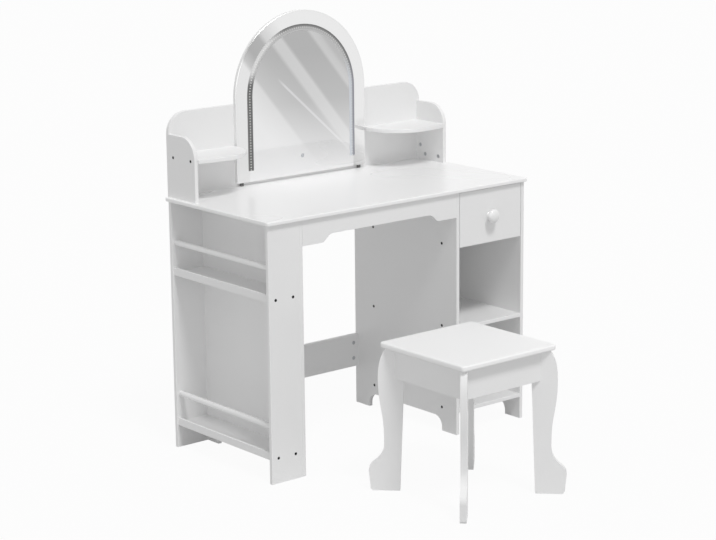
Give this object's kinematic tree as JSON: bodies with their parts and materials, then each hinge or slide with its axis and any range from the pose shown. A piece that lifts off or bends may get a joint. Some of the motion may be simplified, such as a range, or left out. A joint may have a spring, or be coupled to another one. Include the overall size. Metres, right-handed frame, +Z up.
{
  "type": "kids vanity table with stool",
  "caption": "Child's vanity table with a book rack, drawer, hutch and lit arched mirror, and a stool on flat cabriole legs.",
  "frame": {"origin": "on the floor, in the middle of the area that table and stool cover", "axes": "+Z up, +X to the right as a seated child sees it, -Y towards the stool"},
  "size_m": [0.8, 0.8792, 1.024],
  "materials": {
    "painted_board": "satin white paint on fibreboard",
    "desktop_paint": "satin white paint on fibreboard",
    "seat_paint": "satin white paint on fibreboard",
    "turned_wood": "white paint on turned wood",
    "backing_board": "white paint on fibreboard",
    "hardboard": "white faced hardboard",
    "dowel_wood": "plain beech",
    "mirror_silver": "mirror",
    "band_lens": "gloss, smoky",
    "lamp_tape": "matt",
    "lamp_chips": "gloss",
    "touch_pad": "gloss",
    "lead_sleeve": "matt",
    "black_screws": "black oxide",
    "cam_zinc": "zinc",
    "zinc": "zinc plated",
    "case_plastic": "fine grain",
    "cell_sleeve": "satin",
    "contact_metal": "nickel plated",
    "foot_pads": "matt"
  },
  "bodies": {
    "table": {"battery_case": "case_plastic", "battery_cells": "cell_sleeve", "battery_contacts": "contact_metal", "battery_cover": "case_plastic", "bottom_shelf": "painted_board", "cam_locks": "cam_zinc", "cam_studs": "zinc", "cover_screw": "zinc", "desktop": "desktop_paint", "drawer_divider": "painted_board", "front_apron": "painted_board", "hutch_back": "painted_board", "hutch_left_shelf": "painted_board", "hutch_left_side": "painted_board", "hutch_right_shelf": "painted_board", "hutch_right_side": "painted_board", "lamp_leads": "lead_sleeve", "led_chips": "lamp_chips", "led_strip": "lamp_tape", "light_band": "band_lens", "middle_shelf": "painted_board", "mirror_backing": "backing_board", "mirror_feet": "foot_pads", "mirror_screws": "zinc", "mirror_sheet": "mirror_silver", "pedestal_back": "hardboard", "pedestal_left_panel": "painted_board", "pedestal_right_panel": "painted_board", "rack_front_panel": "painted_board", "rack_inner_panel": "painted_board", "rack_lower_lip": "painted_board", "rack_lower_rail": "turned_wood", "rack_lower_shelf": "painted_board", "rack_rear_panel": "painted_board", "rack_upper_lip": "painted_board", "rack_upper_rail": "turned_wood", "rack_upper_shelf": "painted_board", "rear_stretcher": "painted_board", "shelf_screws": "black_screws", "touch_switch": "touch_pad"},
    "drawer": {"drawer_back": "painted_board", "drawer_bottom": "hardboard", "drawer_dowels": "dowel_wood", "drawer_front": "painted_board", "drawer_knob": "turned_wood", "drawer_left_side": "painted_board", "drawer_right_side": "painted_board", "knob_screw": "zinc"},
    "stool": {"stool_bolts": "zinc", "stool_corner_blocks": "painted_board", "stool_front_apron": "painted_board", "stool_front_left_leg": "painted_board", "stool_front_right_leg": "painted_board", "stool_left_apron": "painted_board", "stool_rear_apron": "painted_board", "stool_rear_left_leg": "painted_board", "stool_rear_right_leg": "painted_board", "stool_right_apron": "painted_board", "stool_seat": "seat_paint", "seat_screws": "zinc"}
  },
  "joints": [
    {"name": "drawer_slide", "type": "slide", "parent": "table", "child": "drawer", "axis": [0, -1, 0], "range_m": [0, 0.25]},
    {"name": "stool_slide", "type": "slide", "parent": "table", "child": "stool", "axis": [0, 1, 0], "range_m": [-0.2, 0.5]}
  ]
}
